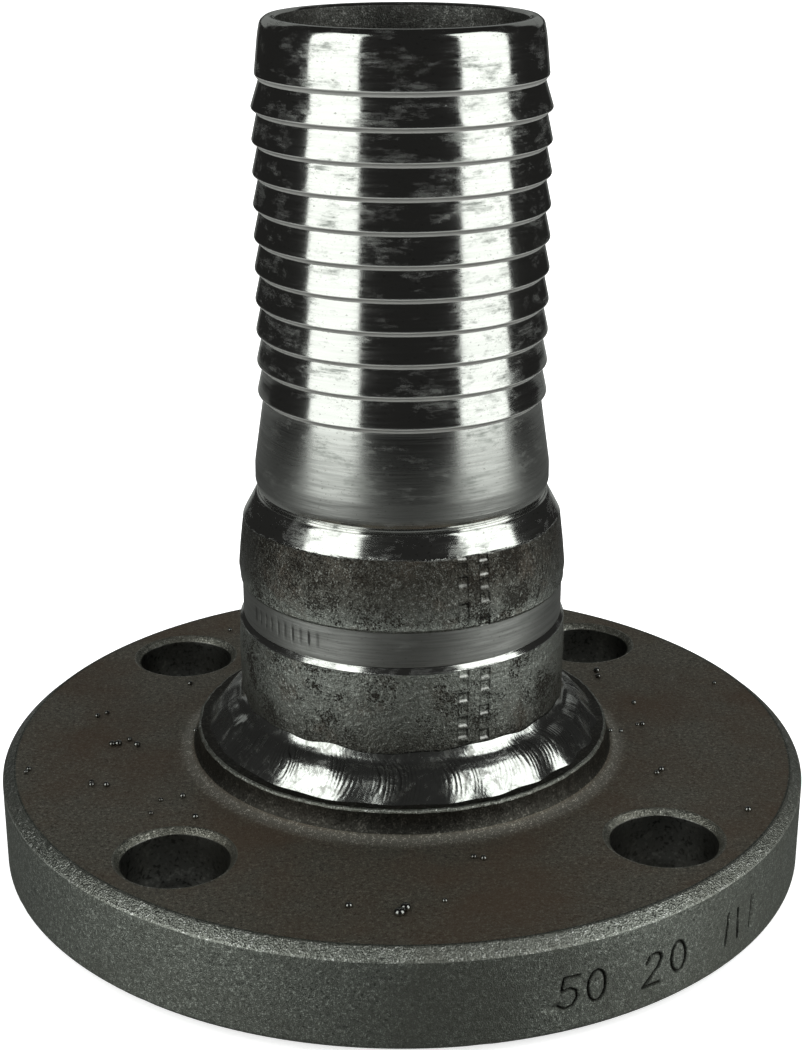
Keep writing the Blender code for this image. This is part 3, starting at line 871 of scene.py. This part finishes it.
def make_fillet_weld():
    """The bead's face is a cross section pushed by ripples, and its back lies on the hub.

    Down the face the section goes from the stem's toe, steep, over a flatter waist, to a
    rounded belly and the hub's toe.  A ripple is a ridge bowed like a crescent, so its
    phase is the way along the bead plus the square of the place down the face.
    """
    angles = np.arange(0.0, 360.0, 0.25)[None, :]
    down = np.linspace(0.0, 1.0, FACE_ROWS)[:, None]
    face_radius = np.interp(down, FACE_SHARES, FACE_RADII)
    face_height = np.interp(down, FACE_SHARES, FACE_HEIGHTS)
    for face in (face_radius, face_height) * 3:
        face[1:-1] = (face[:-2] + face[1:-1] * 2.0 + face[2:]) / 4.0
    radius = face_radius + TOE_WANDER * waves(angles, 0.0 * angles, 31, 14, 26, 1.0) * down ** 1.5
    top_wander = TOP_WANDER * waves(angles, 0.0 * angles, 32, 12, 22, 1.0)
    height = face_height + top_wander * (1.0 - down) ** 2
    belly = np.sin(math.pi * down)
    bow = 6.5 * (down - 0.55) ** 2 + 0.6 * waves(angles, down, 33, 8, 14, 4.0)
    phase = (np.radians(angles) * BEAD_LINE + bow) / RIPPLE + 0.55 * waves(angles, down, 34, 14, 70, 3.0)
    ridge = np.abs(np.sin(math.pi * phase)) ** 0.6
    fine = np.abs(np.sin(math.pi * 2.3 * phase + 1.5 * waves(angles, down, 37, 8, 30, 9.0))) ** 0.8
    strength = np.clip(0.55 + 0.6 * waves(angles, down, 35, 12, 26, 4.0), 0.1, 1.2)
    swell = SWELL_RISE * waves(angles, down, 36, 12, 16, 4.0)
    lap = LAP_RISE * np.exp(-((angles - LAP_ANGLE) / LAP_WIDTH) ** 2)
    push = belly * (RIDGE_RISE * ridge * strength + FINE_RISE * fine + swell + lap)
    radius = radius + push * PUSH_OUT
    height = height + push * PUSH_UP
    # The back is two rows that close the section, just under the hub's top face
    level = HUB_TOP - 0.15 + 0.0 * angles
    rows_r = np.concatenate([radius, radius[-1:] - 0.4, 30.5 + 0.0 * angles])
    rows_z = np.concatenate([height, level, level])
    piece = solid("fillet_weld_bead", [(around(rows_r, rows_z, angles), np.zeros(len(rows_r)))], sharp=60.0)
    # Painted shade between the ripples, and a thin darker line along the hub's toe
    ripple_shade = (1.0 - ridge) ** 1.5 * strength + 0.35 * (1.0 - fine) ** 2
    toe_darkening = clamp(0.5 + waves(angles, down, 38, 16, 60, 1.0))
    toe_darkening = toe_darkening * np.exp(-((1.0 - down) / 0.012) ** 2)
    weld_darkening = clamp(ripple_shade * belly ** 0.5 + toe_darkening)
    add_layer(piece, "ripple_shade_and_toe_line", np.concatenate([weld_darkening, np.zeros((2, angles.shape[1]))]))
    return piece


weld = make_fillet_weld()
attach(weld, "root")
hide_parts("fillet_weld")


def weld_finish(name, bright, dull, roughness):
    """Clean bright weld metal with duller sharp spots, painted shade between its ripples, and darker along
    the hub's toe, where a piece has that layer.
    """
    finish, tree, shader, place = new_finish(name)
    stains = place_effect(tree, STAINS, place, Per_metre=120.0)
    grain = place_effect(tree, GRIT, place, Per_metre=1500.0)
    colour = blend_colours(tree, stains["Sharp"], bright, dull)
    # Painted shade between the ripples, and darker along the hub's toe
    colour = blend_colours(tree, read_layer(tree, "ripple_shade_and_toe_line"), colour, (0.14, 0.135, 0.125))
    tree.links.new(colour, shader.inputs["Base Color"])
    rough = shade(tree, "MULTIPLY_ADD", stains["Sharp"], 0.14, roughness)
    tree.links.new(rough, shader.inputs["Roughness"])
    raise_surface(tree, shader, grain["Height"], 0.00004)
    return finish


weld.data.materials.append(weld_finish("fillet_weld_metal", (0.74, 0.75, 0.73), (0.46, 0.46, 0.44), 0.16))

# ------------------------------------------------------------
# The bore weld.  A smaller bead inside the flange's bore that seals the end of
# the stem, kept back from the gasket face.

seal_low, seal_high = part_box("bore_weld")
SEAL_TO_STEM = 27.2
SEAL_RIPPLE, SEAL_LINE = 1.1, 29.0
SEAL_BELLY, SEAL_RIDGE, SEAL_SWELL = 0.35, 0.09, 0.12
# A push goes in and down in these shares
SEAL_IN, SEAL_DOWN = 0.78, 0.62


def make_bore_weld():
    """A bead on the slope from the bore's wall to the stem's end, rippled like the outer one.

    Radius and height run straight from the wall to the stem, less a push that is a sine
    of the share of the way, made up of a swell and bowed ridges.
    """
    angles = np.arange(0.0, 360.0, 0.9)[None, :]
    share = np.linspace(0.0, 1.0, 14)[:, None]
    wall = FLANGE_BORE - 0.02
    low, high = seal_low.z / MM + 0.3, seal_high.z / MM + 0.2
    phase = np.radians(angles) * SEAL_LINE / SEAL_RIPPLE * math.pi + 3.0 * (share - 0.5) ** 2
    swell = SEAL_SWELL * waves(angles, share, 41, 10, 20, 4.0)
    push = np.sin(math.pi * share) * (SEAL_BELLY + SEAL_RIDGE * np.abs(np.sin(phase)) ** 0.7 + swell)
    radius = wall + (SEAL_TO_STEM - wall) * share - SEAL_IN * push
    height = low + (high - low) * share - SEAL_DOWN * push
    radius = np.concatenate([radius, wall + 0.0 * angles])
    height = np.concatenate([height, high + 0.0 * angles])
    return solid("bore_weld_bead", [(around(radius, height, angles), np.zeros(len(radius)))], sharp=60.0)


seal = make_bore_weld()
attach(seal, "root")
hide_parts("bore_weld")
seal.data.materials.append(weld_finish("bore_weld_metal", (0.45, 0.45, 0.43), (0.24, 0.23, 0.21), 0.30))

# ------------------------------------------------------------
# Weld spatter.  Small balls of weld metal that flew off the arc and froze to
# the flange and the hub, most of them left of the weld.

# Each group: (angle in degrees, radius, spread, how many, smallest and largest ball across)
SPATTER = [
    (257.4, 62.9, 0.3, 1, 1.3, 1.4), (265.0, 63.5, 1.7, 2, 1.8, 2.0), (272.0, 61.1, 0.3, 1, 0.9, 1.0),
    (282.6, 50.0, 5.5, 2, 0.9, 1.2), (195.5, 59.3, 1.6, 3, 1.0, 1.4), (181.0, 54.0, 4.5, 4, 0.9, 1.5),
    (165.0, 64.0, 6.0, 2, 0.9, 1.1), (146.0, 50.0, 1.0, 1, 1.0, 1.1), (186.5, 72.0, 1.5, 2, 0.9, 1.1),
    (211.0, 50.0, 5.0, 4, 0.9, 1.2), (338.0, 51.0, 2.0, 2, 0.9, 1.2), (330.0, 68.8, 0.3, 1, 1.2, 1.3),
    (32.0, 50.0, 3.0, 2, 1.1, 1.4), (16.5, 68.8, 0.5, 1, 0.9, 1.0), (2.0, 47.5, 1.0, 1, 1.0, 1.1),
    (110.0, 58.0, 14.0, 4, 0.8, 1.3),
]
HUB_SPATTER = [(188.0, 37.6, 5.0, 3, 0.8, 1.2), (353.0, 37.6, 8.0, 4, 0.8, 1.2),
               (10.0, 38.0, 8.0, 3, 0.8, 1.2)]


def make_spatter():
    """Balls on a small grid of latitude and longitude, sunk a quarter into the face under them."""
    dice = np.random.default_rng(3)
    long_angle = np.radians(np.arange(0.0, 360.0, 22.5))[None, :]
    lat_angle = np.radians(np.linspace(89.9, -60.0, 9))[:, None]
    unit = np.stack([np.cos(lat_angle) * np.cos(long_angle), np.cos(lat_angle) * np.sin(long_angle),
                     np.sin(lat_angle) + 0.0 * long_angle], -1)
    grids = []
    for face, groups in ((TOP_FACE, SPATTER), (HUB_TOP, HUB_SPATTER)):
        for angle, distance, spread, count, small, large in groups:
            for index in range(count):
                way = math.radians(angle)
                place = distance * np.array([math.cos(way), math.sin(way)])
                if count > 1:
                    place = place + spread * dice.uniform(-1.0, 1.0, 2)
                half = dice.uniform(small, large) / 2.0
                squeeze = np.array([1.0, 1.0, dice.uniform(0.8, 1.0)])
                centre = np.array([*place, face + half * 0.5])
                grids.append(((unit * half * squeeze + centre) * MM, np.zeros(len(unit) - 1)))
    return solid("weld_spatter", grids, sharp=80.0)


spatter = make_spatter()
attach(spatter, "root")
spatter.data.materials.append(weld_finish("spatter_metal", (0.30, 0.30, 0.29), (0.16, 0.15, 0.14), 0.12))

# ------------------------------------------------------------
# The studio.  A pale floor, two tall soft boxes on either side of the camera with dark
# air between them, two dim panels behind the object, and a faint glow from the table.

# The camera's place round the object in degrees, its distance and height in
# metres, and how far it looks down
VIEW_ANGLE = -94.62
CAMERA_REACH = 0.3429
CAMERA_HEIGHT = 0.1898
CAMERA_DOWN = 20.15
FRAME_LONG_SIDE = 1050.0
SIDE_SHIFT = -1.1
FOCAL_LENGTH = 67.26
SENSOR = 36.0
FLOOR_REACH = 6.0
LAMP_COLOUR = (0.955, 1.0, 0.96)


def polar(degrees, reach, height):
    """A place at an angle round the object, a distance from its axis and a height."""
    way = math.radians(degrees)
    return (reach * math.cos(way), reach * math.sin(way), height)


camera = add_to_scene("camera", bpy.data.cameras.new("camera"))
camera.data.sensor_fit = "VERTICAL"
camera.data.sensor_height = SENSOR
camera.data.lens = FOCAL_LENGTH
camera.data.shift_x = SIDE_SHIFT / FRAME_LONG_SIDE
camera.data.clip_start = 0.01
camera.location = polar(VIEW_ANGLE, CAMERA_REACH, CAMERA_HEIGHT)
camera.rotation_euler = (math.radians(90.0 - CAMERA_DOWN), 0.0, math.radians(VIEW_ANGLE + 90.0))
bpy.context.scene.camera = camera

floor_mesh = bpy.data.meshes.new("floor")
floor_mesh.from_pydata([(x * FLOOR_REACH, y * FLOOR_REACH, 0.0)
                        for x, y in ((-1, -1), (1, -1), (1, 1), (-1, 1))], [], [(0, 1, 2, 3)])
floor = add_to_scene("floor", floor_mesh)
paper = bpy.data.materials.new("pale_paper")
paper.use_nodes = True
for look, value in (("Base Color", (0.85, 0.85, 0.85, 1.0)), ("Roughness", 0.9),
                    ("Emission Color", (1.0, 1.0, 1.0, 1.0)), ("Emission Strength", 0.6)):
    paper.node_tree.nodes["Principled BSDF"].inputs[look].default_value = value
floor_mesh.materials.append(paper)
floor.visible_glossy = False
floor.visible_shadow = False


def soft_box(name, degrees, reach, width, low, high, glow):
    """A rectangular light that stands upright and faces the object's axis; glow is its radiance."""
    data = bpy.data.lights.new(name, "AREA")
    data.shape = "RECTANGLE"
    data.size = width
    data.size_y = high - low
    data.energy = glow * math.pi * width * (high - low)
    data.color = LAMP_COLOUR
    box = add_to_scene(name, data)
    box.location = polar(VIEW_ANGLE + degrees, reach, (low + high) / 2.0)
    box.rotation_euler = (math.radians(90.0), 0.0, math.radians(VIEW_ANGLE + degrees + 90.0))
    box.visible_camera = False
    return box


soft_box("left_soft_box", -54.5, 0.9, 0.71, -0.42, 1.25, 1.75)
soft_box("right_soft_box", 68.0, 0.9, 0.73, -0.42, 1.25, 1.75)
soft_box("rear_wall", 180.0, 0.9, 0.75, -0.30, 0.16, 0.12)
soft_box("rear_soft_box", 180.0, 0.9, 1.56, 0.24, 1.00, 0.20)
table_glow = soft_box("table_glow", 0.0, 0.0, 1.4, -0.7, 0.7, 0.13)
table_glow.location = (0.0, 0.0, -0.05)
table_glow.rotation_euler = (math.pi, 0.0, 0.0)


def make_world():
    """Pale air for the camera and the floor, and nearly dark air for reflections."""
    world = bpy.data.worlds.new("studio")
    world.use_nodes = True
    tree = world.node_tree
    tree.nodes.clear()
    rays = node(tree, "ShaderNodeLightPath")
    pale = node(tree, "ShaderNodeBackground", {"Color": (1.0, 1.0, 1.0, 1.0), "Strength": 1.15})
    dark = node(tree, "ShaderNodeBackground", {"Color": (1.0, 1.0, 0.96, 1.0), "Strength": 0.02})
    mix = node(tree, "ShaderNodeMixShader", {0: rays.outputs["Is Glossy Ray"], 1: pale.outputs[0],
                                             2: dark.outputs[0]})
    node(tree, "ShaderNodeOutputWorld", {"Surface": mix.outputs[0]})
    bpy.context.scene.world = world


make_world()
bpy.context.scene.view_settings.view_transform = "Standard"
